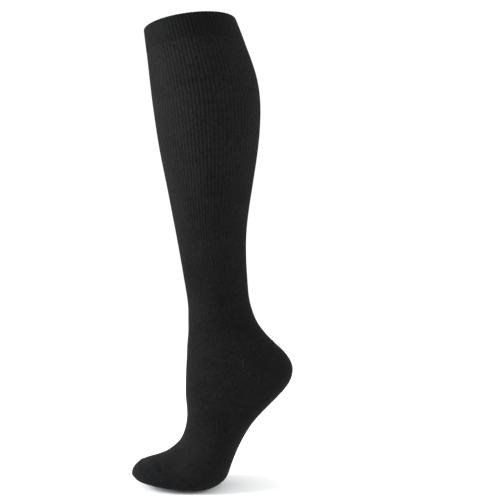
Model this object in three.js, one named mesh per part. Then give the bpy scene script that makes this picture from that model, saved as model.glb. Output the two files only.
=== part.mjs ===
// Knee-high compression stocking, hollow and filled out as worn, with the heel raised.
// Millimetres, +Z up. The origin is the centre of the open top, the toes point to -X and
// the heel to +X, and the -Y and +Y sides are alike.
//
// The cloth lies on one fitted surface. A table gives its knitted rounds from the top edge
// to the toe, each a flat oval through a front point and a back point of the side outline. A
// place on the surface is (turn, round): turn runs once round the leg from the back by way
// of -Y, and round runs down the table's rows. Each piece is a wall on a stretch of it.

import * as THREE from "three";

// Cloth
const LEG_WALL = 1.1; // between the ribs
const WELT_WALL = 1.8; // knitted double and turned in
const POCKET_WALL = 1.3; // heel and toe, plated with a reinforcing yarn
const WELT_INSET = 0.4; // how far the welt reaches in past the leg's inner face
const SEAM_GAP = 0.35;

// Ribs of the leg and welt: 168 needles, one rib for every two
const RIBS = 84;
const RIB_HEIGHT = 0.4;
const RIB_FADE_FROM = "lower calf";
const RIB_FADE_TO = "ankle";

// Columns of points round a ring, outside and inside
const RIBBED_COLUMNS = 2 * RIBS;
const RIBBED_LINING_COLUMNS = 56;
const PLAIN_COLUMNS = 84;
const PLAIN_LINING_COLUMNS = 42;

// Heel pocket: from a gore tip on each side it widens to the back
const GORE_TURN = 0.235; // share of the round from the back seam line to a gore tip
const GORE_BOW = 1.35; // 1 gives straight heel edges, more bows them out
const HEEL_TIP_SHARE = 0.96; // where the pocket's walls end, short of a sharp point
const HEEL_COLUMNS = 40;

// Toe seam: a linked ridge over the toes from side to side
const TOE_SEAM_WIDTH = 2.4;
const TOE_SEAM_HEIGHT = 0.9;
const TOE_SEAM_ROUND = 1.5; // rounds past the toe line
const TOE_SEAM_TURN = 0.27; // share of the round where each end lies
const TOE_SEAM_STEPS = 36;
const TOE_SEAM_LIFT = POCKET_WALL + 0.3;

// The knitted rounds. halfWidth is across Y. fullness swells the back half and draws in the
// front half. squareness is the power of the oval, 2 for an ellipse.
const ROUNDS = [
  { place: "top edge", frontX: -48, frontZ: -6, backX: 48, backZ: 6,
    halfWidth: 55, fullness: 0.04, squareness: 2.05 },
  { place: "welt edge", frontX: -45.5, frontZ: -26.5, backX: 57.5, backZ: -18.5,
    halfWidth: 55.5, fullness: 0.06, squareness: 2.05 },
  { place: "below knee", frontX: -39.5, frontZ: -78.5, backX: 73.5, backZ: -66.5,
    halfWidth: 56, fullness: 0.1, squareness: 2.05 },
  { place: "calf", frontX: -32, frontZ: -130.5, backX: 73.5, backZ: -119.5,
    halfWidth: 54, fullness: 0.12, squareness: 2.05 },
  { place: "lower calf", frontX: -21.5, frontZ: -182.5, backX: 66, backZ: -173.5,
    halfWidth: 46, fullness: 0.1, squareness: 2 },
  { place: "above ankle", frontX: -12, frontZ: -233.5, backX: 59, backZ: -226.5,
    halfWidth: 35, fullness: 0.06, squareness: 2 },
  { place: "ankle", frontX: -4, frontZ: -279.5, backX: 61, backZ: -276.5,
    halfWidth: 29.5, fullness: 0.02, squareness: 2 },
  { place: "ankle bend", frontX: -1, frontZ: -298.5, backX: 63.5, backZ: -298.5,
    halfWidth: 29.5, fullness: 0, squareness: 2 },
  { place: "over heel", frontX: -0.5, frontZ: -315.5, backX: 71.5, backZ: -320.5,
    halfWidth: 30.5, fullness: 0, squareness: 2 },
  { place: "heel top", frontX: -0.5, frontZ: -330.5, backX: 87, backZ: -339.5,
    halfWidth: 32, fullness: 0, squareness: 2 },
  { place: "upper heel", frontX: -1.5, frontZ: -341.5, backX: 102, backZ: -353.5,
    halfWidth: 33, fullness: 0, squareness: 2 },
  { place: "gore", frontX: -2, frontZ: -351.5, backX: 109.5, backZ: -366.5,
    halfWidth: 34, fullness: 0, squareness: 2.05 },
  { place: "under heel", frontX: -2.5, frontZ: -361.5, backX: 108, backZ: -380.5,
    halfWidth: 34, fullness: 0.04, squareness: 2.1 },
  { place: "heel end", frontX: -3, frontZ: -371.5, backX: 98, backZ: -394.5,
    halfWidth: 34, fullness: 0.06, squareness: 2.15 },
  { place: "arch", frontX: -3.5, frontZ: -397.5, backX: 68.5, backZ: -424.5,
    halfWidth: 35, fullness: 0.08, squareness: 2.2 },
  { place: "instep", frontX: -1.5, frontZ: -422.5, backX: 52.5, backZ: -450.5,
    halfWidth: 38, fullness: 0.12, squareness: 2.25 },
  { place: "behind ball", frontX: -8.5, frontZ: -446, backX: 43.5, backZ: -472.5,
    halfWidth: 41, fullness: 0.16, squareness: 2.3 },
  { place: "ball", frontX: -19, frontZ: -456.5, backX: 39, backZ: -484.5,
    halfWidth: 42.5, fullness: 0.18, squareness: 2.35 },
  { place: "toe roots", frontX: -30, frontZ: -463, backX: 25.5, backZ: -493.5,
    halfWidth: 42.5, fullness: 0.18, squareness: 2.4 },
  { place: "toe line", frontX: -41, frontZ: -466.5, backX: 2.5, backZ: -495,
    halfWidth: 41.5, fullness: 0.16, squareness: 2.4 },
  { place: "toes", frontX: -50.5, frontZ: -469.5, backX: -21.5, backZ: -493.5,
    halfWidth: 38, fullness: 0.12, squareness: 2.35 },
  { place: "toe front", frontX: -56, frontZ: -472.5, backX: -40, backZ: -491,
    halfWidth: 30.5, fullness: 0.08, squareness: 2.3 },
  { place: "toe end", frontX: -59.5, frontZ: -476, backX: -51.5, backZ: -488.5,
    halfWidth: 20.5, fullness: 0.04, squareness: 2.2 },
  { place: "toe tip", frontX: -61, frontZ: -479.5, backX: -58.5, backZ: -485,
    halfWidth: 9.5, fullness: 0, squareness: 2.1 },
];
const TIP = new THREE.Vector3(-61.6, 0, -482.5);

const BLACK_KNIT = { color: 0x1d1d1e, roughness: 0.86, metalness: 0 };
const BLACK_WELT = { color: 0x171718, roughness: 0.84, metalness: 0 };
const BLACK_POCKET = { color: 0x161617, roughness: 0.9, metalness: 0 };

const roundOf = (place) => ROUNDS.findIndex((row) => row.place === place);
const LAST_ROUND = ROUNDS.length - 1;
const WELT_EDGE = roundOf("welt edge");
const HEEL_TOP = roundOf("heel top");
const GORE = roundOf("gore");
const HEEL_END = roundOf("heel end");
const TOE_LINE = roundOf("toe line");

// The leg and the foot are made in stretches, which end at these rounds
const TOP_STRETCH_END = roundOf("below knee") + 0.5;
const CALF_STRETCH_END = roundOf("lower calf");
const SHIN_STRETCH_END = roundOf("above ankle") + 0.5;
const INSTEP_STRETCH_END = roundOf("instep");

// Smooth runs of the table's columns down the stocking
const frontLine = new THREE.CatmullRomCurve3(
  ROUNDS.map((row) => new THREE.Vector3(row.frontX, 0, row.frontZ)),
);
const backLine = new THREE.CatmullRomCurve3(
  ROUNDS.map((row) => new THREE.Vector3(row.backX, 0, row.backZ)),
);
const ovalLine = new THREE.CatmullRomCurve3(
  ROUNDS.map((row) => new THREE.Vector3(row.halfWidth, row.fullness, row.squareness)),
  false,
  "catmullrom",
);

// Half of a round's oval, from the back to the front, as points with the way run so far
const OVAL_STEPS = 120;
function halfOval(round) {
  const share = THREE.MathUtils.clamp(round / LAST_ROUND, 0, 1);
  const front = frontLine.getPoint(share);
  const back = backLine.getPoint(share);
  const [halfWidth, fullness, squareness] = ovalLine.getPoint(share).toArray();
  const centre = front.clone().lerp(back, 0.5);
  const reach = back.clone().sub(front).multiplyScalar(0.5);
  const points = [];
  let run = 0;
  for (let step = 0; step <= OVAL_STEPS; step++) {
    const angle = (Math.PI * step) / OVAL_STEPS;
    const along = Math.sign(Math.cos(angle)) * Math.abs(Math.cos(angle)) ** (2 / squareness);
    const across = halfWidth * Math.abs(Math.sin(angle)) ** (2 / squareness) * (1 + fullness * along);
    const place = centre.clone().addScaledVector(reach, along);
    place.y = across;
    run += step > 0 ? place.distanceTo(points[step - 1].place) : 0;
    points.push({ place, run });
  }
  return points;
}

// The fitted surface, with ribs and courses evenly spaced round each oval
function surface(turn, round) {
  const part = turn - Math.floor(turn);
  const side = part < 0.5 ? -1 : 1;
  const oval = halfOval(round);
  const run = oval[OVAL_STEPS].run * (part < 0.5 ? 2 * part : 2 * (1 - part));
  let step = 1;
  while (step < OVAL_STEPS && oval[step].run < run) step++;
  const [before, after] = [oval[step - 1], oval[step]];
  const share = (run - before.run) / (after.run - before.run);
  const point = before.place.clone().lerp(after.place, share);
  point.y *= side;
  return point;
}

const TURN_STEP = 0.004;
const ROUND_STEP = 0.02;
function tangents(turn, round) {
  const above = Math.max(round - ROUND_STEP, 0);
  const below = Math.min(round + ROUND_STEP, LAST_ROUND);
  const along = surface(turn, below).sub(surface(turn, above)).divideScalar(below - above);
  const around = surface(turn + TURN_STEP, round).sub(surface(turn - TURN_STEP, round));
  return { along, around };
}

// A point lifted off the fitted surface along its normal, outwards where lift is positive
function lifted(turn, round, lift) {
  const { along, around } = tangents(turn, round);
  const normal = around.cross(along).normalize();
  return surface(turn, round).addScaledVector(normal, lift);
}

// A length in millimetres down the stocking, in rounds, at one place
const inRounds = (turn, round, length) => length / tangents(turn, round).along.length();

// How far the heel pocket has opened at a turn: 0 at the gore tips, 1 at the back
function heelOpening(turn) {
  const fromBack = Math.abs(turn - Math.round(turn));
  return fromBack < GORE_TURN ? 1 - (fromBack / GORE_TURN) ** GORE_BOW : 0;
}
const legEnd = (turn) => GORE - (GORE - HEEL_TOP) * heelOpening(turn);
const footStart = (turn) => GORE + (HEEL_END - GORE) * heelOpening(turn);

// An edge pulled back from a seam line, so that two pieces leave the seam gap between them
const above = (line) => (turn) => line(turn) - inRounds(turn, line(turn), SEAM_GAP / 2);
const below = (line) => (turn) => line(turn) + inRounds(turn, line(turn), SEAM_GAP / 2);
const constant = (round) => () => round;

// The relief of the ribs on a column: crests on the even ones, fading out above the ankle
const FADE_FROM = roundOf(RIB_FADE_FROM);
const FADE_TO = roundOf(RIB_FADE_TO);
function ribRelief(column, round) {
  const strength = 1 - THREE.MathUtils.smoothstep(round, FADE_FROM, FADE_TO);
  return column % 2 === 0 ? RIB_HEIGHT * strength : 0;
}

// A closed mesh that grows by rows of vertices and the strips between them
class Shell {
  positions = [];
  faces = [];

  row(points) {
    const first = this.positions.length;
    this.positions.push(...points);
    return points.map((_, index) => first + index);
  }

  // A strip between two rows that run side by side, whatever the number of each
  strip(left, right) {
    let i = 0;
    let j = 0;
    while (i < left.length - 1 || j < right.length - 1) {
      const leftNext = (i + 1) / (left.length - 1);
      const rightNext = (j + 1) / (right.length - 1);
      if (j === right.length - 1 || leftNext <= rightNext) {
        this.faces.push(left[i], left[i + 1], right[j]);
        i++;
      } else {
        this.faces.push(left[i], right[j + 1], right[j]);
        j++;
      }
    }
  }

  strips(rows) {
    rows.slice(1).forEach((row, index) => this.strip(rows[index], row));
  }

  geometry() {
    const geometry = new THREE.BufferGeometry();
    geometry.setAttribute(
      "position",
      new THREE.Float32BufferAttribute(this.positions.flatMap((point) => point.toArray()), 3),
    );
    geometry.setIndex(this.faces);
    geometry.computeVertexNormals();
    return geometry;
  }
}

// Evenly spaced shares from 0 to 1
const shares = (count) => Array.from({ length: count + 1 }, (_, index) => index / count);

// One ring of a tube, closed on its first vertex
function ring(shell, columns, pointAt) {
  const points = Array.from({ length: columns }, (_, column) => pointAt(column / columns, column));
  const row = shell.row(points);
  return [...row, row[0]];
}

// A tube wall. outside and inside list its rings from top to bottom as { edge, lift }, where
// edge gives the round at each turn. A tip closes it at the bottom.
function tube({ outside, inside, columns, liningColumns, relief = () => 0, tip }) {
  const shell = new Shell();
  const outer = outside.map(({ edge, lift }) =>
    ring(shell, columns, (turn, column) =>
      lifted(turn, edge(turn), lift + relief(column, edge(turn))),
    ),
  );
  const inner = inside.map(({ edge, lift }) =>
    ring(shell, liningColumns, (turn) => lifted(turn, edge(turn), lift)),
  );
  if (tip) {
    outer.push(shell.row([tip.outside]));
    inner.push(shell.row([tip.inside]));
  } else {
    shell.strip(outer.at(-1), inner.at(-1));
  }
  shell.strips(outer);
  shell.strips(inner.reverse());
  shell.strip(inner.at(-1), outer[0]);
  return shell.geometry();
}

// Rings between two edges, all with one lift
const rings = (from, to, count, lift) =>
  shares(count).map((share) => ({
    edge: (turn) => THREE.MathUtils.lerp(from(turn), to(turn), share),
    lift,
  }));

// The welt has a turned, rounded top edge
const WELT_ROUNDING = 0.7;
function weltGeometry() {
  const top = (turn) => inRounds(turn, 0, WELT_ROUNDING);
  const bottom = above(constant(WELT_EDGE));
  const face = WELT_WALL - WELT_INSET;
  return tube({
    outside: [
      { edge: constant(0), lift: face - WELT_ROUNDING },
      ...rings(top, bottom, 2, face),
    ],
    inside: [
      { edge: constant(0), lift: WELT_ROUNDING - WELT_INSET },
      ...rings(top, bottom, 2, -WELT_INSET),
    ],
    columns: RIBBED_COLUMNS,
    liningColumns: RIBBED_LINING_COLUMNS,
    relief: ribRelief,
  });
}

const LEG_STRETCHES = [
  { name: "leg_top", from: constant(WELT_EDGE), to: constant(TOP_STRETCH_END) },
  { name: "leg_calf", from: constant(TOP_STRETCH_END), to: constant(CALF_STRETCH_END) },
  { name: "leg_shin", from: constant(CALF_STRETCH_END), to: constant(SHIN_STRETCH_END) },
  { name: "leg_ankle", from: constant(SHIN_STRETCH_END), to: legEnd },
];
const LEG_RINGS = 4; // in each stretch
function legGeometry({ from, to }) {
  return tube({
    outside: rings(below(from), above(to), LEG_RINGS, LEG_WALL),
    inside: rings(below(from), above(to), LEG_RINGS, 0),
    columns: RIBBED_COLUMNS,
    liningColumns: RIBBED_LINING_COLUMNS,
    relief: ribRelief,
  });
}

const FOOT_STRETCHES = [
  { name: "foot_instep", from: footStart, to: constant(INSTEP_STRETCH_END) },
  { name: "foot_ball", from: constant(INSTEP_STRETCH_END), to: constant(TOE_LINE) },
];
const FOOT_RINGS = 6; // in each stretch
function footGeometry({ from, to }) {
  return tube({
    outside: rings(below(from), above(to), FOOT_RINGS, LEG_WALL),
    inside: rings(below(from), above(to), FOOT_RINGS, 0),
    columns: PLAIN_COLUMNS,
    liningColumns: PLAIN_LINING_COLUMNS,
  });
}

const TOE_RINGS = 7;
function toeGeometry() {
  const top = below(constant(TOE_LINE));
  const bottom = constant(LAST_ROUND);
  return tube({
    outside: rings(top, bottom, TOE_RINGS, POCKET_WALL),
    inside: rings(top, bottom, TOE_RINGS, 0),
    columns: PLAIN_COLUMNS,
    liningColumns: PLAIN_LINING_COLUMNS,
    tip: { outside: TIP.clone().setX(TIP.x - POCKET_WALL), inside: TIP },
  });
}

// The heel pocket is a patch between the leg's edge and the foot's, from tip to tip
const HEEL_ROWS = 8;
function heelGeometry() {
  const upper = below(legEnd);
  const lower = above(footStart);
  const tipTurn = GORE_TURN * HEEL_TIP_SHARE;
  const shell = new Shell();
  const patch = (columns, lift) =>
    shares(HEEL_ROWS).map((down) =>
      shell.row(
        shares(columns).map((share) => {
          const turn = THREE.MathUtils.lerp(-tipTurn, tipTurn, share);
          return lifted(turn, THREE.MathUtils.lerp(upper(turn), lower(turn), down), lift);
        }),
      ),
    );
  const outer = patch(HEEL_COLUMNS, POCKET_WALL);
  const inner = patch(HEEL_COLUMNS / 2, 0);
  shell.strips(outer);
  shell.strips([...inner].reverse());
  shell.strip(inner[0], outer[0]);
  shell.strip(outer.at(-1), inner.at(-1));
  const column = (rows, index) => rows.map((row) => row.at(index));
  shell.strip(column(outer, 0), column(inner, 0));
  shell.strip(column(inner, -1), column(outer, -1));
  return shell.geometry();
}

// The toe seam follows the toe's surface over the top, a little off it
function toeSeamGeometry() {
  const round = TOE_LINE + TOE_SEAM_ROUND;
  const profile = [
    { along: -0.5, lift: 0 },
    { along: -0.4, lift: 0.7 },
    { along: 0, lift: 1 },
    { along: 0.4, lift: 0.7 },
    { along: 0.5, lift: 0 },
  ];
  const shell = new Shell();
  const rows = shares(TOE_SEAM_STEPS).map((share) => {
    const turn = THREE.MathUtils.lerp(TOE_SEAM_TURN, 1 - TOE_SEAM_TURN, share);
    const points = profile.map(({ along, lift }) =>
      lifted(
        turn,
        round + inRounds(turn, round, along * TOE_SEAM_WIDTH),
        TOE_SEAM_LIFT + lift * TOE_SEAM_HEIGHT,
      ),
    );
    const row = shell.row(points);
    return [...row, row[0]];
  });
  shell.strips([...rows].reverse());
  const start = shell.row([lifted(TOE_SEAM_TURN, round, TOE_SEAM_LIFT)]);
  const end = shell.row([lifted(1 - TOE_SEAM_TURN, round, TOE_SEAM_LIFT)]);
  shell.strip(rows[0], start);
  shell.strip(end, rows.at(-1));
  return shell.geometry();
}

function piece(name, geometry, finish) {
  const mesh = new THREE.Mesh(geometry, new THREE.MeshStandardMaterial(finish));
  mesh.name = name;
  return mesh;
}

const stocking = new THREE.Group();
stocking.add(
  piece("welt", weltGeometry(), BLACK_WELT),
  ...LEG_STRETCHES.map((stretch) => piece(stretch.name, legGeometry(stretch), BLACK_KNIT)),
  piece("heel", heelGeometry(), BLACK_POCKET),
  ...FOOT_STRETCHES.map((stretch) => piece(stretch.name, footGeometry(stretch), BLACK_KNIT)),
  piece("toe", toeGeometry(), BLACK_POCKET),
  piece("toe_seam", toeSeamGeometry(), BLACK_POCKET),
);

export default stocking;
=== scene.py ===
import math

import bpy
import numpy as np
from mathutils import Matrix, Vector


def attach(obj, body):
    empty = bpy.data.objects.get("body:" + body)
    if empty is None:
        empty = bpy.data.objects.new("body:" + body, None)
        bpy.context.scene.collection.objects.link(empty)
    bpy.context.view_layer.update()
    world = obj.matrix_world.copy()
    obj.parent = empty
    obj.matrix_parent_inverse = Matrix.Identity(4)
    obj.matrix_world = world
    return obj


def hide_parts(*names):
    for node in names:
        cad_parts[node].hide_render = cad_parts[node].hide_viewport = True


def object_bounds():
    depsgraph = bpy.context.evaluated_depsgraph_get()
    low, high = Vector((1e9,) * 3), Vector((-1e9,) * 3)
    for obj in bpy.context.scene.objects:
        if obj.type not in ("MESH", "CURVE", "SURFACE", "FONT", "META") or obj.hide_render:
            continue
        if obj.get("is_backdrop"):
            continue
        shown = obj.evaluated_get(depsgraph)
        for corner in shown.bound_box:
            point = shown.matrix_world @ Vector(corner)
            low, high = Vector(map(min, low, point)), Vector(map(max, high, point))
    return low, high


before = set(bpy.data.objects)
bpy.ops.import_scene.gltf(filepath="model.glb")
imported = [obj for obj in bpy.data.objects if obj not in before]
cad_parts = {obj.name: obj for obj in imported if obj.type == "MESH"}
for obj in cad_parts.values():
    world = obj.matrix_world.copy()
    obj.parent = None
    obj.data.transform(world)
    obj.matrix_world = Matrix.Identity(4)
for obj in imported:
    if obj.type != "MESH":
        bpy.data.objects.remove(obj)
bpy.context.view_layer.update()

scene = bpy.context.scene
MM = 0.001

# The knitted rounds from the top edge to the toe, on the surface that the cloth lies on, in mm. Each
# is a flat oval through a front and a back point of the side outline. half_width is across Y,
# fullness swells the back half and draws in the front half, squareness is the oval's power.
ROUNDS = {
    "top edge": (-48, -6, 48, 6, 55, 0.04, 2.05),
    "welt edge": (-45.5, -26.5, 57.5, -18.5, 55.5, 0.06, 2.05),
    "below knee": (-39.5, -78.5, 73.5, -66.5, 56, 0.1, 2.05),
    "calf": (-32, -130.5, 73.5, -119.5, 54, 0.12, 2.05),
    "lower calf": (-21.5, -182.5, 66, -173.5, 46, 0.1, 2),
    "above ankle": (-12, -233.5, 59, -226.5, 35, 0.06, 2),
    "ankle": (-4, -279.5, 61, -276.5, 29.5, 0.02, 2),
    "ankle bend": (-1, -298.5, 63.5, -298.5, 29.5, 0, 2),
    "over heel": (-0.5, -315.5, 71.5, -320.5, 30.5, 0, 2),
    "heel top": (-0.5, -330.5, 87, -339.5, 32, 0, 2),
    "upper heel": (-1.5, -341.5, 102, -353.5, 33, 0, 2),
    "gore": (-2, -351.5, 109.5, -366.5, 34, 0, 2.05),
    "under heel": (-2.5, -361.5, 108, -380.5, 34, 0.04, 2.1),
    "heel end": (-3, -371.5, 98, -394.5, 34, 0.06, 2.15),
    "arch": (-3.5, -397.5, 68.5, -424.5, 35, 0.08, 2.2),
    "instep": (-1.5, -422.5, 52.5, -450.5, 38, 0.12, 2.25),
    "behind ball": (-8.5, -446, 43.5, -472.5, 41, 0.16, 2.3),
    "ball": (-19, -456.5, 39, -484.5, 42.5, 0.18, 2.35),
    "toe roots": (-30, -463, 25.5, -493.5, 42.5, 0.18, 2.4),
    "toe line": (-41, -466.5, 2.5, -495, 41.5, 0.16, 2.4),
    "toes": (-50.5, -469.5, -21.5, -493.5, 38, 0.12, 2.35),
    "toe front": (-56, -472.5, -40, -491, 30.5, 0.08, 2.3),
    "toe end": (-59.5, -476, -51.5, -488.5, 20.5, 0.04, 2.2),
    "toe tip": (-61, -479.5, -58.5, -485, 9.5, 0, 2.1),
}
TIP = np.array((-61.6, 0, -482.5))
place = {name: row for row, name in enumerate(ROUNDS)}
LAST = len(ROUNDS) - 1

# Knit: 168 needles in one rib for every two, and the walls and relief of the cloth in mm
NEEDLES = 168
WALES_PER_RIB = 2
COURSE = 1.3  # height of a row of stitches on the leg
RIB_HEIGHT = 0.45
RIB_FADE = 0.65  # share of the ribs' height that is lost from the calf to the ankle
RIB_CREST = 0.7  # power of a rib's wave: below 1, its crests are broad and its grooves narrow
WELT_RIBS, WELT_RIBS_EASE = 0.6, 0.1  # share of their height on the welt, and rounds to the whole
LEG_WALL, WELT_WALL, POCKET_WALL = 1.1, 1.8, 1.3
WELT_INSET = 0.4  # how far the welt reaches in past the leg's inner face
WELT_FACE = WELT_WALL - WELT_INSET
GORE_TURN, GORE_BOW = 0.235, 1.35  # the heel pocket's reach round from the back, and its bow

# Rings of points outside and inside each piece, and columns round it
RINGS = {"welt": (24, 10), "leg": (150, 60), "foot": (96, 40), "toe": (60, 24), "heel": (60, 24)}
RIBBED_COLUMNS, PLAIN_COLUMNS, LINING_COLUMNS = 3 * NEEDLES, 2 * NEEDLES, NEEDLES
HEEL_COLUMNS = 160, 80
HEEL_TIP_SHARE = 0.99  # where the pocket's wall ends, short of a sharp point
# The fold at the welt's top: the rounds that it takes, how far it turns in, in mm, and where along
# it its rings lie. The hem below, which lies down on the leg: its rounds, and where its rings lie.
WELT_FOLD, WELT_FOLD_DEPTH, FOLD_SHARES = 0.03, 0.9, (0, 0.35, 0.7)
WELT_HEM, HEM_SHARES = 0.02, (0.25, 0.5, 0.75, 1)
WALL_CORNER = 65  # degrees past which a wall's edge stays crisp


def spline(points, steps):
    """Centripetal Catmull-Rom curve through points, with steps samples from each to the next."""
    ends = (2 * points[0] - points[1], 2 * points[-1] - points[-2])
    p = np.vstack((ends[0], points, ends[1]))
    gap = np.linalg.norm(np.diff(p, axis=0), axis=1) ** 0.5
    t = np.arange(steps)[:, None] / steps
    curve = []
    for i in range(1, len(p) - 2):
        a, b, c = gap[i - 1], gap[i], gap[i + 1]
        leave = (p[i] - p[i - 1]) / a - (p[i + 1] - p[i - 1]) / (a + b) + (p[i + 1] - p[i]) / b
        reach = (p[i + 1] - p[i]) / b - (p[i + 2] - p[i]) / (b + c) + (p[i + 2] - p[i + 1]) / c
        leave, reach = leave * b, reach * b
        curve.append(
            p[i] + leave * t + (3 * (p[i + 1] - p[i]) - 2 * leave - reach) * t**2
            + (2 * (p[i] - p[i + 1]) + leave + reach) * t**3
        )
    return np.vstack(curve + [points[-1:]])


def eased(values, width):
    """Values smoothed along the first axis by a bell of that many samples, with the ends kept."""
    reach = 3 * width
    bell = np.exp(-0.5 * (np.arange(-reach, reach + 1) / width) ** 2)
    bell /= bell.sum()
    padded = np.concatenate(
        (2 * values[:1] - values[reach:0:-1], values, 2 * values[-1:] - values[-2:-reach - 2:-1])
    )
    smooth = [np.convolve(column, bell, "valid") for column in padded.T]
    return np.stack(smooth, axis=1)


# The fitted surface as a fine grid: rounds down the stocking, and turns round it from the middle
# of the back by way of -Y. Points are evenly spaced round each oval, as the needles are.
FINE_ROUNDS = 32
FINE_TURNS = 504
OVAL_STEPS = 400


def fitted_grid():
    """The points of the grid, from the rounds' table eased down the stocking."""
    table = np.array(list(ROUNDS.values()), float)
    ease = FINE_ROUNDS // 4
    front = eased(spline(table[:, 0:2], FINE_ROUNDS), ease)
    back = eased(spline(table[:, 2:4], FINE_ROUNDS), ease)
    half_width, fullness, squareness = eased(spline(table[:, 4:7], FINE_ROUNDS), ease).T
    angle = np.linspace(0, math.pi, OVAL_STEPS + 1)
    share = np.linspace(0, 1, FINE_TURNS // 2 + 1)
    rows = []
    for f, b, w, k, p in zip(front, back, half_width, fullness, squareness):
        along = np.sign(np.cos(angle)) * np.abs(np.cos(angle)) ** (2 / p)
        across = w * np.abs(np.sin(angle)) ** (2 / p) * (1 + k * along)
        middle = (f + b) / 2 + np.outer(along, (b - f) / 2)
        oval = np.column_stack((middle[:, 0], across, middle[:, 1]))
        run = np.insert(np.cumsum(np.linalg.norm(np.diff(oval, axis=0), axis=1)), 0, 0)
        half = np.column_stack([np.interp(share * run[-1], run, oval[:, i]) for i in range(3)])
        near = half * (1, -1, 1)
        rows.append(np.vstack((near, half[-2:0:-1])))
    return np.array(rows)


GRID = fitted_grid()


def grid_normals():
    """Unit normals of the grid's points, out of the stocking."""
    around = np.roll(GRID, -1, axis=1) - np.roll(GRID, 1, axis=1)
    down = np.gradient(GRID, axis=0)
    normal = np.cross(around, down)
    return normal / np.linalg.norm(normal, axis=2, keepdims=True)


NORMALS = grid_normals()
# Length down the stocking at each fine round, mean of front and back
LENGTH = np.insert(
    np.cumsum(np.linalg.norm(np.diff(GRID, axis=0), axis=2).mean(axis=1)), 0, 0
)


def sample(grid, turn, row):
    """A grid's values at turns (0 to 1 and on) and rounds, between its points."""
    x = (turn % 1) * FINE_TURNS
    y = np.clip(row, 0, LAST) * FINE_ROUNDS
    column, line = np.floor(x).astype(int), np.minimum(np.floor(y).astype(int), len(grid) - 2)
    fx, fy = (x - column)[..., None], (y - line)[..., None]
    left, right = column % FINE_TURNS, (column + 1) % FINE_TURNS
    upper = grid[line, left] * (1 - fx) + grid[line, right] * fx
    lower = grid[line + 1, left] * (1 - fx) + grid[line + 1, right] * fx
    return upper * (1 - fy) + lower * fy


def length_at(row):
    """Length in mm down the stocking at a round."""
    return np.interp(np.asarray(row, float) * FINE_ROUNDS, np.arange(len(LENGTH)), LENGTH)


def lifted(turn, row, lift):
    """Points in mm, lifted off the fitted surface along its normal."""
    normal = sample(NORMALS, turn, row)
    normal = normal / np.linalg.norm(normal, axis=-1, keepdims=True)
    return sample(GRID, turn, row) + normal * np.asarray(lift)[..., None]


def smoothstep(x, start, end):
    """Eases from 0 at start to 1 at end."""
    t = np.clip((np.asarray(x, float) - start) / (end - start), 0, 1)
    return t * t * (3 - 2 * t)


def heel_opening(turn):
    """How far leg and foot part for the heel: 1 at the middle of the back, 0 past the gore tips."""
    from_back = np.abs(turn - np.round(turn))
    return np.where(
        from_back < GORE_TURN, 1 - np.minimum(from_back / GORE_TURN, 1) ** GORE_BOW, 0
    )


def leg_end(turn):
    """The round where the leg ends, higher over the heel pocket."""
    return place["gore"] - (place["gore"] - place["heel top"]) * heel_opening(turn)


def foot_start(turn):
    """The round where the foot begins, further on under the heel pocket."""
    return place["gore"] + (place["heel end"] - place["gore"]) * heel_opening(turn)


# Soft creases and bulges of the cloth: each runs from one place on the surface to another, with its
# height in mm (a trough below 0) and its half width in mm. Turns are as in the grid, and rounds are
# counted from 0 at the top edge. The far side has its own, like those of the near side.
CREASE_STEPS = 8  # straight steps along a crease
CREASE_END = 0.02  # share of its length at which a crease begins and ends
CREASES = (
    # from_turn, from_round, to_turn, to_round, height, half_width
    # slack across the front of the ankle, where the foot points down
    (0.36, 10.5, 0.48, 10.8, -0.4, 2.6),
    (0.40, 11.5, 0.50, 11.7, -0.3, 2.4),
    (0.33, 12.3, 0.46, 12.8, -0.35, 2.8),
    (0.52, 10.9, 0.65, 10.4, -0.4, 2.6),
    (0.54, 12.4, 0.68, 12.0, -0.35, 2.8),
    # over the tendon and under the heel
    (0.03, 8.0, 0.13, 8.5, -0.35, 2.8),
    (0.87, 8.4, 0.97, 8.0, -0.35, 2.8),
    (0.05, 14.3, 0.15, 14.0, -0.35, 3.0),
    (0.85, 14.1, 0.95, 14.4, -0.35, 3.0),
    # a band of slack over the toe roots, from the instep round to the ball, and its short offsets
    (0.43, 18.45, 0.28, 18.75, -0.6, 3.2),
    (0.41, 18.95, 0.31, 19.15, 0.5, 2.8),
    (0.30, 18.15, 0.20, 18.1, -0.9, 2.0),
    (0.39, 19.3, 0.31, 20.3, 0.4, 2.6),
    (0.35, 19.5, 0.28, 20.4, -0.4, 2.6),
    (0.25, 19.0, 0.17, 19.6, -0.5, 2.6),
    (0.10, 19.3, 0.01, 19.6, -0.7, 2.6),
    (0.57, 18.4, 0.71, 18.7, -0.6, 3.2),
    (0.60, 18.9, 0.69, 19.2, 0.5, 2.8),
    (0.70, 18.1, 0.80, 18.15, -0.9, 2.0),
    (0.62, 19.4, 0.70, 20.2, 0.4, 2.6),
    (0.75, 19.1, 0.83, 19.5, -0.5, 2.6),
    (0.88, 19.4, 0.97, 19.5, -0.7, 2.6),
)


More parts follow.
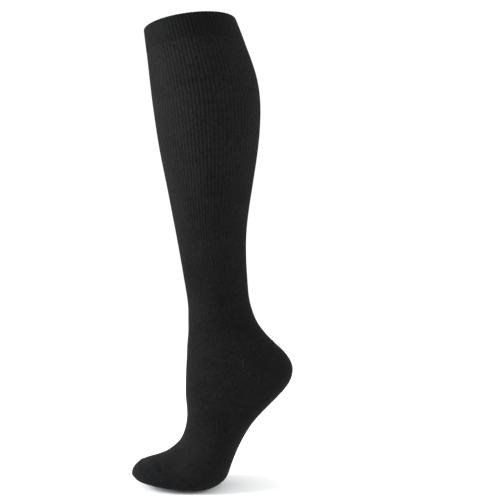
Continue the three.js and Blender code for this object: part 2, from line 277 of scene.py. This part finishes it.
def crease_lift(turn, row):
    """Height in mm that the creases add at each place."""
    at = sample(GRID, turn, row)
    lift = np.zeros(np.shape(turn))
    for from_turn, from_round, to_turn, to_round, height, half_width in CREASES:
        along = np.linspace(0, 1, CREASE_STEPS + 1)
        path = sample(
            GRID,
            from_turn + (to_turn - from_turn) * along,
            from_round + (to_round - from_round) * along,
        )
        nearest = np.full(np.shape(turn), np.inf)
        fade = np.zeros(np.shape(turn))
        for start, end, share in zip(path[:-1], path[1:], along[:-1]):
            step = end - start
            t = np.clip(((at - start) @ step) / (step @ step), 0, 1)
            away = np.linalg.norm(at - start - t[..., None] * step, axis=-1)
            closer = away < nearest
            nearest = np.where(closer, away, nearest)
            run = np.clip(share + t / CREASE_STEPS, CREASE_END, 1 - CREASE_END)
            fade = np.where(closer, np.sin(math.pi * run), fade)
        lift += height * fade * np.exp(-((nearest / half_width) ** 2))
    return lift


def unevenness(turn, row):
    """Slow unevenness of a stretched knit, up to about 0.15 mm, the same each run."""
    a = np.sin(2 * math.pi * (3 * turn + 0.21 * row)) * np.sin(1.7 * row + 4 * math.pi * turn)
    b = np.sin(2 * math.pi * (7 * turn - 0.37 * row) + 1.3) * np.sin(2.9 * row)
    return 0.09 * a + 0.06 * b


class Wall:
    """A closed knitted wall: an outer and an inner grid of points with their stitch coordinates."""

    def __init__(self, name):
        self.name = name
        self.points, self.stitches, self.strengths, self.faces = [], [], [], []
        self.count = 0

    def grid(self, turn, row, lift, strength=None):
        """Adds a grid of points and gives its vertex numbers."""
        turn, row = np.broadcast_arrays(turn, row)
        self.points.append(lifted(turn, row, lift).reshape(-1, 3))
        self.stitches.append(
            np.stack((turn * NEEDLES, length_at(row) / COURSE), axis=-1).reshape(-1, 2)
        )
        strength = np.zeros(turn.shape) if strength is None else strength
        self.strengths.append(np.broadcast_to(strength, turn.shape).reshape(-1))
        numbers = np.arange(self.count, self.count + turn.size).reshape(turn.shape)
        self.count += turn.size
        return numbers

    def pole(self, point, row):
        """Adds the point that closes a tip, and gives its number."""
        self.points.append(np.array([point], float))
        self.stitches.append(np.array([[0, length_at(row) / COURSE]]))
        self.strengths.append(np.zeros(1))
        self.count += 1
        return np.array([self.count - 1])

    def quads(self, numbers, closed, flip=False):
        """Faces of a grid, closed round its turns where it is a tube."""
        after = np.roll(numbers, -1, axis=1) if closed else numbers[:, 1:]
        before = numbers if closed else numbers[:, :-1]
        quads = np.stack((before[:-1], after[:-1], after[1:], before[1:]), axis=-1).reshape(-1, 4)
        self.faces.extend((quads[:, ::-1] if flip else quads).tolist())

    def strip(self, left, right):
        """Faces between two rows that run side by side, whatever the number in each."""
        i = j = 0
        while i < len(left) - 1 or j < len(right) - 1:
            left_next = (i + 1) / max(len(left) - 1, 1)
            right_next = (j + 1) / max(len(right) - 1, 1)
            if j == len(right) - 1 or (i < len(left) - 1 and left_next <= right_next):
                self.faces.append([int(left[i]), int(left[i + 1]), int(right[j])])
                i += 1
            else:
                self.faces.append([int(left[i]), int(right[j + 1]), int(right[j])])
                j += 1

    def make(self):
        """Makes the piece, with its stitches as a UV map and its wales and ribs as attributes."""
        points = np.vstack(self.points) * MM
        mesh = bpy.data.meshes.new(self.name)
        mesh.from_pydata(points.tolist(), [], self.faces)
        mesh.update()
        stitches = np.vstack(self.stitches)
        corners = np.empty(len(mesh.loops), int)
        mesh.loops.foreach_get("vertex_index", corners)
        uv = stitches[corners]
        # A face that crosses the start of the round takes its stitches on from the last wale
        starts = np.repeat(
            np.fromiter((p.loop_start for p in mesh.polygons), int),
            np.fromiter((p.loop_total for p in mesh.polygons), int),
        )
        wide = np.abs(uv[:, 0] - uv[starts, 0]) > NEEDLES / 2
        crossing = np.isin(starts, starts[wide])
        uv[crossing & (uv[:, 0] < NEEDLES / 2), 0] += NEEDLES
        layer = mesh.uv_layers.new(name="stitches")
        layer.data.foreach_set("uv", uv.astype(np.float32).ravel())
        rib = mesh.attributes.new("rib_strength", "FLOAT", "POINT")
        rib.data.foreach_set("value", np.concatenate(self.strengths).astype(np.float32))
        wale = mesh.attributes.new("wale", "FLOAT", "POINT")
        wale.data.foreach_set("value", stitches[:, 0].astype(np.float32))
        shade(mesh)
        piece = bpy.data.objects.new(self.name, mesh)
        scene.collection.objects.link(piece)
        return piece


def shade(mesh):
    """Smooth shading over the knit, with crisp edges where a wall ends."""
    mesh.shade_smooth()
    mesh.set_sharp_from_angle(angle=math.radians(WALL_CORNER))


def closed_row(numbers):
    """A ring's vertex numbers, back to the first."""
    return np.append(numbers, numbers[0])


def tube(name, outside, inside, columns, tip=None):
    """A tube wall. outside and inside list rings from top to bottom as (edge, lift, strength)."""
    wall = Wall(name)

    def rings(listed, count, with_ribs):
        turn = np.arange(count) / count
        grids = []
        for edge, lift, strength in listed:
            row = edge(turn) * np.ones(count)
            extra = crease_lift(turn, row) + unevenness(turn, row)
            grids.append(wall.grid(turn, row, lift + extra, strength(row) if with_ribs else None))
        return np.array(grids)

    outer = rings(outside, columns, with_ribs=True)
    inner = rings(inside, LINING_COLUMNS, with_ribs=False)
    wall.quads(outer, closed=True)
    wall.quads(inner, closed=True, flip=True)
    wall.strip(closed_row(inner[0]), closed_row(outer[0]))
    if tip is None:
        wall.strip(closed_row(outer[-1]), closed_row(inner[-1]))
    else:
        out_tip, in_tip = (wall.pole(point, LAST) for point in tip)
        wall.strip(closed_row(outer[-1]), out_tip)
        wall.strip(in_tip, closed_row(inner[-1]))
    return wall.make()


def no_ribs(row):
    """The plain knit of heel, toe and inside."""
    return np.zeros(np.shape(row))


def between(top, bottom, count, lift, strength=no_ribs):
    """Rings evenly spaced from one edge to another."""
    def ring(share):
        return lambda turn: top(turn) * (1 - share) + bottom(turn) * share
    return [(ring(share), lift, strength) for share in np.linspace(0, 1, count + 1)]


def level(row):
    """An edge that keeps to one round."""
    return lambda turn: np.full(np.shape(turn), float(row))


def rib_strength(row):
    """Ribs stand out on the welt and calf, and lie ever closer and flatter towards the ankle."""
    below_welt = smoothstep(row, place["welt edge"], place["welt edge"] + WELT_RIBS_EASE)
    share = WELT_RIBS + (1 - WELT_RIBS) * below_welt
    return share * (1 - RIB_FADE * smoothstep(row, place["calf"], place["ankle bend"]))


def linear(code):
    """An sRGB hex colour as linear RGBA."""
    values = [int(code[i:i + 2], 16) / 255 for i in (1, 3, 5)]
    return (*(v / 12.92 if v <= 0.04045 else ((v + 0.055) / 1.055) ** 2.4 for v in values), 1)


def node(tree, kind, inputs=None, **settings):
    """Adds a node with its settings, and its inputs as values or as sockets to link from."""
    added = tree.nodes.new(kind)
    for key, value in settings.items():
        setattr(added, key, value)
    for key, value in (inputs or {}).items():
        if isinstance(value, bpy.types.NodeSocket):
            tree.links.new(value, added.inputs[key])
        else:
            added.inputs[key].default_value = value
    return added


def maths(tree, operation, a, b=0.0, c=0.0):
    """The value that a maths node gives."""
    return node(tree, "ShaderNodeMath", {0: a, 1: b, 2: c}, operation=operation).outputs[0]


# Sizes in mm of what the knit is made of: its finest fibres, its yarn, its uneven stitches and the
# slow clouds of tone where it is stretched
FIBRE, YARN, SLUB, CLOUD = 0.9, 0.3, 3.2, 28.0
# Tighter and looser stitches along the ribs: shares of a patch that one wale and one course take
DASH_PER_WALE, DASH_PER_COURSE = 0.8, 0.42
RING_PER_COURSE = 0.23  # bands of tighter and looser courses
STITCH_LEAN = 1.4  # courses that the legs of a stitch climb, for a wale's width
LEG_RELIEF = 0.7  # share of a stitch's height that lies in its two legs
FOOT_UNEVENNESS = 0.4  # share of the leg's uneven stitches that the closer knit below keeps


def noise(tree, at, size, detail):
    """Noise through the cloth, in patches of a size in mm."""
    inputs = {"Vector": at, "Scale": 1 / (size * MM), "Detail": detail}
    return node(tree, "ShaderNodeTexNoise", inputs).outputs["Fac"]


def along_courses(tree, course, start, end, first, last):
    """A value that eases from first to last between two named places of the rounds' table."""
    return node(
        tree, "ShaderNodeMapRange",
        {"Value": course, "From Min": float(length_at(place[start])) / COURSE,
         "From Max": float(length_at(place[end])) / COURSE, "To Min": first, "To Max": last},
        interpolation_type="SMOOTHSTEP",
    ).outputs["Result"]


def knit_material(
    name, groove, crest, ribs=0.0, dense=0.0, uneven=0.4, relief=0.5, roughness=0.65, gloss=0.05,
    sheen=0.012
):
    """Filament nylon over elastane, knitted. The two legs of each stitch lean in a V in its wale.
    groove and crest are the colours of painted shade between the ribs and painted light on them, where
    it has ribs, and the dark and light ends of its tone elsewhere."""
    material = bpy.data.materials.new(name)
    material.use_nodes = True
    tree = material.node_tree
    tree.nodes.clear()

    # Stitches, from the wales and courses of the UV map
    uv = node(tree, "ShaderNodeUVMap", uv_map="stitches").outputs["UV"]
    split = node(tree, "ShaderNodeSeparateXYZ", {"Vector": uv})
    wale, course = split.outputs["X"], split.outputs["Y"]
    across = maths(tree, "ABSOLUTE", maths(tree, "SUBTRACT", maths(tree, "FRACT", wale), 0.5))
    leg = maths(tree, "SINE", maths(tree, "MULTIPLY", across, 2 * math.pi))
    slant = maths(tree, "FRACT", maths(tree, "MULTIPLY_ADD", across, STITCH_LEAN, course))
    loop = maths(tree, "SINE", maths(tree, "MULTIPLY", slant, math.pi))
    legs = maths(tree, "MULTIPLY_ADD", leg, LEG_RELIEF, 1 - LEG_RELIEF)
    stitch = maths(tree, "MULTIPLY", loop, legs)
    at = node(tree, "ShaderNodeTexCoord").outputs["Object"]
    fibres = noise(tree, at, FIBRE, detail=3.0)
    height = maths(tree, "MULTIPLY_ADD", fibres, 0.5, stitch)
    bump = node(
        tree, "ShaderNodeBump", {"Strength": relief, "Distance": YARN * MM, "Height": height}
    ).outputs["Normal"]

    # Ribs: painted light on the crests and painted shade in the grooves between them, with more gloss
    # and sheen on the crests
    wave = maths(tree, "COSINE", maths(tree, "MULTIPLY", wale, 2 * math.pi / WALES_PER_RIB))
    strength = along_courses(tree, course, "calf", "ankle bend", ribs, ribs * (1 - RIB_FADE))
    rib = maths(tree, "MULTIPLY_ADD", maths(tree, "MULTIPLY", wave, strength), 0.5, 0.5)
    # Where the tube is narrowest it is least stretched, so its stitches lie closer and darker
    closing = along_courses(tree, course, "calf", "ankle bend", 0.0, dense)
    opening = along_courses(tree, course, "instep", "toe roots", 0.0, dense)
    closeness = maths(tree, "SUBTRACT", closing, opening)
    # Courses of slightly tighter and looser yarn, uneven stitches and clouds of tone, and painted light
    # on the raised loops of each stitch with painted shade between them
    rings = node(
        tree, "ShaderNodeTexNoise",
        {"W": maths(tree, "MULTIPLY", course, RING_PER_COURSE), "Scale": 1.0, "Detail": 2.0},
        noise_dimensions="1D",
    ).outputs["Fac"]
    clouds = noise(tree, at, CLOUD, detail=4.0)
    slubs = noise(tree, at, SLUB, detail=2.0)
    dash_at = node(
        tree, "ShaderNodeCombineXYZ",
        {"X": maths(tree, "MULTIPLY", wale, DASH_PER_WALE),
         "Y": maths(tree, "MULTIPLY", course, DASH_PER_COURSE)},
    ).outputs["Vector"]
    dashes = node(
        tree, "ShaderNodeTexNoise", {"Vector": dash_at, "Scale": 1.0, "Detail": 2.0},
        noise_dimensions="2D",
    ).outputs["Fac"]
    patchy = along_courses(tree, course, "calf", "ankle bend", uneven, FOOT_UNEVENNESS * uneven)
    tone = maths(tree, "SUBTRACT", rib, closeness)
    shares = (
        (dashes, patchy), (rings, 0.15), (clouds, 0.6), (slubs, 0.8), (fibres, 1.2), (stitch, 0.35),
    )
    for pattern, share in shares:
        centred = maths(tree, "SUBTRACT", pattern, 0.5)
        tone = maths(tree, "MULTIPLY_ADD", centred, share, tone)
    ramp = node(tree, "ShaderNodeValToRGB", {"Fac": tone})
    ramp.color_ramp.elements[0].color = linear(groove)
    ramp.color_ramp.elements[1].color = linear(crest)
    shader = node(
        tree, "ShaderNodeBsdfPrincipled",
        {"Base Color": ramp.outputs["Color"], "Roughness": roughness, "Normal": bump,
         "Specular IOR Level": maths(tree, "MULTIPLY", rib, gloss),
         "Sheen Weight": maths(tree, "MULTIPLY", rib, sheen), "Sheen Roughness": 0.3},
    )
    node(tree, "ShaderNodeOutputMaterial", {"Surface": shader.outputs["BSDF"]})
    return material


# Black nylon and elastane rib of the leg: fine matt stitches in ribs, with a soft sheen at its edges,
# and painted shade in the grooves between its ribs
leg_knit = knit_material(
    "black_nylon_rib_knit", "#090909", "#1b1b1a", ribs=0.14, dense=0.16, uneven=0.8
)
# The welt is the same yarn knitted double, so it looks denser and a little darker, with the same
# painted shade in the grooves of its ribs
welt_knit = knit_material(
    "black_double_welt_knit", "#090909", "#151515", ribs=0.14, uneven=0.8, sheen=0.008
)
# Heel and toe are plated with a second yarn: plain, close and smooth, and darkest at the heel
heel_knit = knit_material("black_plated_heel_knit", "#0a0a0a", "#151515", relief=0.6)
toe_knit = knit_material("black_plated_toe_knit", "#0b0b0c", "#1a1b1b", relief=0.6)
# Linking yarn of the seams, rounder and smoother than the knit; its lighter colour is a painted
# highlight, so it shows as a faint lighter line
seam_yarn = knit_material("black_linking_yarn", "#181716", "#232221", relief=0.2)


def rib_tree():
    """Raises ribs on a smooth wall: crests and grooves along the normals, by the wale of a point."""
    tree = bpy.data.node_groups.new("raise_ribs", "GeometryNodeTree")
    for name, kind in (("Geometry", "NodeSocketGeometry"), ("Rib Height", "NodeSocketFloat"),
                       ("Wales per Rib", "NodeSocketFloat"), ("Cloth", "NodeSocketMaterial")):
        tree.interface.new_socket(name, in_out="INPUT", socket_type=kind)
    tree.interface.new_socket("Geometry", in_out="OUTPUT", socket_type="NodeSocketGeometry")
    given = node(tree, "NodeGroupInput").outputs
    wale = node(tree, "GeometryNodeInputNamedAttribute", {"Name": "wale"}, data_type="FLOAT")
    strength = node(
        tree, "GeometryNodeInputNamedAttribute", {"Name": "rib_strength"}, data_type="FLOAT"
    )
    phase = maths(tree, "DIVIDE", wale.outputs["Attribute"], given["Wales per Rib"])
    wave = maths(tree, "COSINE", maths(tree, "MULTIPLY", phase, 2 * math.pi))
    # Just under a half of the wave, so that what is raised to the power never falls below 0
    crest = maths(tree, "POWER", maths(tree, "MULTIPLY_ADD", wave, 0.4999, 0.5), RIB_CREST)
    height = maths(tree, "MULTIPLY", maths(tree, "MULTIPLY", crest, given["Rib Height"]),
                   strength.outputs["Attribute"])
    normal = node(tree, "GeometryNodeInputNormal").outputs["Normal"]
    offset = node(tree, "ShaderNodeVectorMath", {0: normal, "Scale": height}, operation="SCALE")
    moved = node(
        tree, "GeometryNodeSetPosition", {"Geometry": given["Geometry"], "Offset": offset.outputs[0]}
    )
    whole = node(tree, "GeometryNodeRealizeInstances", {"Geometry": moved.outputs["Geometry"]})
    clad = node(
        tree, "GeometryNodeSetMaterial",
        {"Geometry": whole.outputs["Geometry"], "Material": given["Cloth"]},
    )
    node(tree, "NodeGroupOutput", {"Geometry": clad.outputs["Geometry"]})
    return tree


def applied(piece, tree, **inputs):
    """Puts a node tree on a piece with its named inputs, and makes the result its plain mesh."""
    modifier = piece.modifiers.new(tree.name, "NODES")
    modifier.node_group = tree
    named = {item.name: item.identifier for item in tree.interface.items_tree if item.in_out == "INPUT"}
    for name, value in inputs.items():
        modifier[named[name.replace("_", " ")]] = value
    evaluated = piece.evaluated_get(bpy.context.evaluated_depsgraph_get())
    mesh = bpy.data.meshes.new_from_object(evaluated)
    piece.modifiers.remove(modifier)
    # The bare wall had no cloth on it yet, which leaves an empty place beside the tree's material
    for slot in reversed(range(len(mesh.materials))):
        if mesh.materials[slot] is None:
            mesh.materials.pop(index=slot)
    piece.data = mesh
    shade(mesh)
    return piece


raise_ribs = rib_tree()


def ribbed(piece, material):
    """The piece in its cloth, with the ribs raised on it."""
    return applied(
        piece, raise_ribs,
        Rib_Height=RIB_HEIGHT * MM, Wales_per_Rib=float(WALES_PER_RIB), Cloth=material,
    )


def welt_piece():
    """The doubled band: its top edge is a fold, and its lower edge lies down on the leg."""
    top, bottom = level(WELT_FOLD), level(place["welt edge"])
    fold = [(WELT_FOLD * s, WELT_FOLD_DEPTH * (1 - s) ** 2) for s in FOLD_SHARES]
    out_fold = [(level(row), WELT_FACE - inward, rib_strength) for row, inward in fold]
    in_fold = [(level(row), inward - WELT_INSET, rib_strength) for row, inward in fold]
    hem = [
        (level(place["welt edge"] + WELT_HEM * s), WELT_FACE + (LEG_WALL - WELT_FACE) * s, rib_strength)
        for s in HEM_SHARES
    ]
    rings, lining_rings = RINGS["welt"]
    piece = tube(
        "welt_cloth",
        out_fold + between(top, bottom, rings, WELT_FACE, rib_strength) + hem,
        in_fold + between(top, bottom, lining_rings, -WELT_INSET),
        RIBBED_COLUMNS,
    )
    return ribbed(piece, welt_knit)


def ribbed_tube(part, top, bottom):
    """The leg or the foot, a ribbed tube between two edges."""
    rings, lining_rings = RINGS[part]
    piece = tube(
        part + "_cloth",
        between(top, bottom, rings, LEG_WALL, rib_strength),
        between(top, bottom, lining_rings, 0.0),
        RIBBED_COLUMNS,
    )
    return ribbed(piece, leg_knit)


def toe_piece():
    """The toe pocket, a plain tube that closes at its tip."""
    top, bottom = level(place["toe line"]), level(LAST)
    rings, lining_rings = RINGS["toe"]
    piece = tube(
        "toe_cloth",
        between(top, bottom, rings, POCKET_WALL),
        between(top, bottom, lining_rings, 0.0),
        PLAIN_COLUMNS,
        tip=(TIP - (POCKET_WALL, 0, 0), TIP),
    )
    piece.data.materials.append(toe_knit)
    return piece


def heel_piece():
    """The heel pocket, a patch between the leg's edge and the foot's, from tip to tip."""
    wall = Wall("heel_cloth")
    tip = GORE_TURN * HEEL_TIP_SHARE

    def patch(rows, columns, lift):
        turn = np.linspace(-tip, tip, columns + 1)
        share = np.linspace(0, 1, rows + 1)[:, None]
        row = leg_end(turn) * (1 - share) + foot_start(turn) * share
        turn = np.broadcast_to(turn, row.shape)
        return wall.grid(turn, row, lift + crease_lift(turn, row) + unevenness(turn, row))

    rows, lining_rows = RINGS["heel"]
    outer = patch(rows, HEEL_COLUMNS[0], POCKET_WALL)
    inner = patch(lining_rows, HEEL_COLUMNS[1], 0.0)
    wall.quads(outer, closed=False)
    wall.quads(inner, closed=False, flip=True)
    wall.strip(inner[0], outer[0])
    wall.strip(outer[-1], inner[-1])
    wall.strip(outer[:, 0], inner[:, 0])
    wall.strip(inner[:, -1], outer[:, -1])
    piece = wall.make()
    piece.data.materials.append(heel_knit)
    return piece


def ridge(name, turns, rows, lift, radius, material):
    """A thin round bead along places on the surface."""
    path = lifted(np.asarray(turns), np.asarray(rows), lift) * MM
    curve = bpy.data.curves.new(name, "CURVE")
    curve.dimensions = "3D"
    curve.bevel_depth = radius * MM
    curve.bevel_resolution = 3
    curve.use_fill_caps = True
    line = curve.splines.new("POLY")
    line.points.add(len(path) - 1)
    for point, at in zip(line.points, path):
        point.co = (*at, 1)
    made = bpy.data.objects.new(name, curve)
    scene.collection.objects.link(made)
    mesh = bpy.data.meshes.new_from_object(made.evaluated_get(bpy.context.evaluated_depsgraph_get()))
    bpy.data.objects.remove(made)
    mesh.materials.clear()
    mesh.materials.append(material)
    shade(mesh)
    piece = bpy.data.objects.new(name, mesh)
    scene.collection.objects.link(piece)
    return piece


def stitch_tree():
    """Sets slanted stitches in a row along a line of points that keep the cloth's normal."""
    tree = bpy.data.node_groups.new("stitch_row", "GeometryNodeTree")
    for name, kind in (("Geometry", "NodeSocketGeometry"), ("Pitch", "NodeSocketFloat"),
                       ("Stitch Size", "NodeSocketVector"), ("Slant", "NodeSocketFloat"),
                       ("Yarn", "NodeSocketMaterial")):
        tree.interface.new_socket(name, in_out="INPUT", socket_type=kind)
    tree.interface.new_socket("Geometry", in_out="OUTPUT", socket_type="NodeSocketGeometry")
    given = node(tree, "NodeGroupInput").outputs
    line = node(tree, "GeometryNodeMeshToCurve", {"Mesh": given["Geometry"]}).outputs["Curve"]
    spaced = node(
        tree, "GeometryNodeResampleCurve", {"Curve": line, "Length": given["Pitch"]}, mode="LENGTH"
    ).outputs["Curve"]
    tangent = node(tree, "GeometryNodeInputTangent").outputs["Tangent"]
    normal = node(tree, "GeometryNodeInputNamedAttribute", {"Name": "cloth_normal"},
                  data_type="FLOAT_VECTOR").outputs["Attribute"]
    along = node(tree, "FunctionNodeAlignRotationToVector", {"Vector": tangent}, axis="X")
    upright = node(tree, "FunctionNodeAlignRotationToVector",
                   {"Rotation": along.outputs[0], "Vector": normal}, axis="Z", pivot_axis="X")
    lean = node(tree, "FunctionNodeAxisAngleToRotation",
                {"Axis": (0.0, 0.0, 1.0), "Angle": given["Slant"]})
    turned = node(tree, "FunctionNodeRotateRotation",
                  {"Rotation": upright.outputs[0], "Rotate By": lean.outputs[0]},
                  rotation_space="LOCAL")
    stitch = node(tree, "GeometryNodeMeshIcoSphere", {"Radius": 1.0, "Subdivisions": 2})
    row = node(
        tree, "GeometryNodeInstanceOnPoints",
        {"Points": spaced, "Instance": stitch.outputs["Mesh"], "Rotation": turned.outputs[0],
         "Scale": given["Stitch Size"]},
    )
    whole = node(tree, "GeometryNodeRealizeInstances", {"Geometry": row.outputs["Instances"]})
    clad = node(tree, "GeometryNodeSetMaterial",
                {"Geometry": whole.outputs["Geometry"], "Material": given["Yarn"]})
    node(tree, "NodeGroupOutput", {"Geometry": clad.outputs["Geometry"]})
    return tree


stitch_row_tree = stitch_tree()


# Rows of stitches: how far off the fitted surface they lie, from one to the next, the half sizes of
# a stitch along, across and up, all in mm, and its slant to the row in degrees
STITCHES = {
    "toe seam": (POCKET_WALL + 0.25, 1.5, (1.0, 0.24, 0.22), 62),
    "gore": (POCKET_WALL, 2.1, (0.85, 0.3, 0.3), 90),
    "gore tip": (POCKET_WALL, 0.8, (0.5, 0.75, 0.35), 0),
    "transfer": (LEG_WALL + 0.1, 1.05, (0.62, 0.3, 0.22), 8),
    "welt": (LEG_WALL + 0.25, 2.07, (0.5, 0.35, 0.3), 90),
}


def stitch_row(name, kind, turns, rows):
    """A row of seam stitches along places on the surface."""
    lift, pitch, size, slant = STITCHES[kind]
    turns, rows = np.broadcast_arrays(np.asarray(turns, float), np.asarray(rows, float))
    mesh = bpy.data.meshes.new(name)
    points = lifted(turns, rows, lift) * MM
    mesh.from_pydata(points.tolist(), [(i, i + 1) for i in range(len(points) - 1)], [])
    normal = mesh.attributes.new("cloth_normal", "FLOAT_VECTOR", "POINT")
    normal.data.foreach_set("vector", sample(NORMALS, turns, rows).astype(np.float32).ravel())
    piece = bpy.data.objects.new(name, mesh)
    scene.collection.objects.link(piece)
    return applied(
        piece, stitch_row_tree, Pitch=pitch * MM, Stitch_Size=[part * MM for part in size],
        Slant=math.radians(slant), Yarn=seam_yarn,
    )


SEAM_STEPS = 160  # points of the path of a seam
TOE_SEAM_TURN = 0.27  # share of the round where each end of the toe seam lies
TOE_SEAM_ROUND = 1.5  # rounds past the toe line
TOE_BEAD_RADIUS, TOE_BEAD_LIFT = 0.6, POCKET_WALL - 0.2
GORE_SHARE = 0.98  # how far towards the gore tips the fashioning stitches run
GORE_INSET = 0.06  # rounds from the pocket's edge in to its stitches
GORE_TIP_REACH, GORE_TIP_STEPS = 0.28, 12  # rounds above and below the tip, and points between
WELT_LINK_ROUND = 0.012  # rounds below the welt's edge


def toe_seam_pieces():
    """The linked ridge over the toes, and the linking stitches that cross it."""
    turns = np.linspace(TOE_SEAM_TURN, 1 - TOE_SEAM_TURN, SEAM_STEPS)
    rows = np.full(SEAM_STEPS, place["toe line"] + TOE_SEAM_ROUND)
    return (
        ridge("toe_seam_cloth", turns, rows, TOE_BEAD_LIFT, TOE_BEAD_RADIUS, toe_knit),
        stitch_row("toe_seam_stitches", "toe seam", turns, rows),
    )


def gore_pieces():
    """Fashioning stitches of the heel's gore, where its narrowed and widened courses meet."""
    made = []
    for edge, line, inset in (("upper", leg_end, GORE_INSET), ("lower", foot_start, -GORE_INSET)):
        turns = np.linspace(-GORE_SHARE, GORE_SHARE, SEAM_STEPS) * GORE_TURN
        made.append(stitch_row(f"heel_{edge}_gore_stitches", "gore", turns, line(turns) + inset))
    for side, turn in (("near", GORE_TURN), ("far", 1 - GORE_TURN)):
        rows = np.linspace(-GORE_TIP_REACH, GORE_TIP_REACH, GORE_TIP_STEPS) + place["gore"]
        made.append(stitch_row(f"heel_{side}_gore_tip_stitches", "gore tip", turn, rows))
    return made


def transfer_course():
    """The course across the instep where the leg ends and the foot begins, between the gore tips."""
    turns = np.linspace(GORE_TURN, 1 - GORE_TURN, SEAM_STEPS)
    return stitch_row("instep_transfer_course", "transfer", turns, place["gore"])


def welt_linking():
    """Linking stitches that hold the welt's turned edge down on the leg."""
    turns = np.linspace(0, 1, 4 * SEAM_STEPS)
    row = place["welt edge"] + WELT_LINK_ROUND
    return stitch_row("welt_linking_stitches", "welt", turns, row)


# The photograph's view: level, square on to the side, 1 m away, with a frame 540 mm wide
CAMERA_AT = (0.0648, -1.0, -0.242)
FRAME_WIDTH = 0.54
SENSOR_WIDTH = 36
# A white room with a large softbox at the front left and a weak one at the right, in m and W
ROOM_STRENGTH = 1.06
LAMPS = (("left_softbox", (-1.5, -0.3, 0.25), 50), ("right_fill", (1.5, -0.3, 0.2), 14))
LAMP_TARGET = (0.03, 0, -0.2)
LAMP_SIZE = 0.9
LAMP_COLOUR = (0.94, 0.97, 1.0)
FLOOR_REACH = 3.0


def camera():
    """The camera that gives the photograph's view."""
    data = bpy.data.cameras.new("camera")
    data.sensor_width = SENSOR_WIDTH
    data.lens = SENSOR_WIDTH * -CAMERA_AT[1] / FRAME_WIDTH
    made = bpy.data.objects.new("camera", data)
    made.location = CAMERA_AT
    made.rotation_euler = (math.pi / 2, 0, 0)
    scene.collection.objects.link(made)
    scene.camera = made


def light():
    """Light from the white room and its two softboxes."""
    world = bpy.data.worlds.new("white_studio")
    world.use_nodes = True
    background = world.node_tree.nodes["Background"]
    background.inputs["Color"].default_value = (1, 1, 1, 1)
    background.inputs["Strength"].default_value = ROOM_STRENGTH
    scene.world = world
    scene.view_settings.view_transform = "Standard"
    for name, at, power in LAMPS:
        data = bpy.data.lights.new(name, "AREA")
        data.color = LAMP_COLOUR
        data.shape = "DISK"
        data.size = LAMP_SIZE
        data.energy = power
        lamp = bpy.data.objects.new(name, data)
        lamp.location = at
        aim = np.array(LAMP_TARGET) - np.array(at)
        yaw = math.atan2(aim[1], aim[0])
        pitch = math.atan2(aim[2], math.hypot(aim[0], aim[1]))
        lamp.rotation_euler = (math.pi / 2 + pitch, 0, yaw - math.pi / 2)
        scene.collection.objects.link(lamp)


def floor():
    """White paper under the stocking, as low as its lowest point."""
    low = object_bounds()[0][2]
    corners = [(x * FLOOR_REACH, y * FLOOR_REACH, low) for x, y in ((-1, -1), (1, -1), (1, 1), (-1, 1))]
    mesh = bpy.data.meshes.new("floor")
    mesh.from_pydata(corners, [], [(0, 1, 2, 3)])
    ground = bpy.data.objects.new("floor", mesh)
    scene.collection.objects.link(ground)
    material = bpy.data.materials.new("white_paper_floor")
    material.use_nodes = True
    shader = material.node_tree.nodes["Principled BSDF"]
    shader.inputs["Base Color"].default_value = linear("#fafafa")
    shader.inputs["Roughness"].default_value = 0.9
    mesh.materials.append(material)
    ground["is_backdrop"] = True


welt = welt_piece()
leg = ribbed_tube("leg", level(place["welt edge"]), leg_end)
heel = heel_piece()
foot = ribbed_tube("foot", foot_start, level(place["toe line"]))
toe = toe_piece()
toe_seam, toe_stitches = toe_seam_pieces()
gores = gore_pieces()
transfer = transfer_course()
linking = welt_linking()

LEG_NODES = ("leg_top", "leg_calf", "leg_shin", "leg_ankle")
FOOT_NODES = ("foot_instep", "foot_ball")
for piece, cad_nodes, finish in (
    (welt, ("welt",), "welt_knit"), (leg, LEG_NODES, "leg_knit"), (heel, ("heel",), "pocket_knit"),
    (foot, FOOT_NODES, "leg_knit"), (toe, ("toe",), "pocket_knit"),
    (toe_seam, ("toe_seam",), "pocket_knit"), (toe_stitches, (), "pocket_knit"),
    *((gore, (), "pocket_knit") for gore in gores),
    (transfer, (), "leg_knit"), (linking, (), "welt_knit"),
):
    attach(piece, "root")
    if cad_nodes:
        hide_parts(*cad_nodes)

floor()
camera()
light()
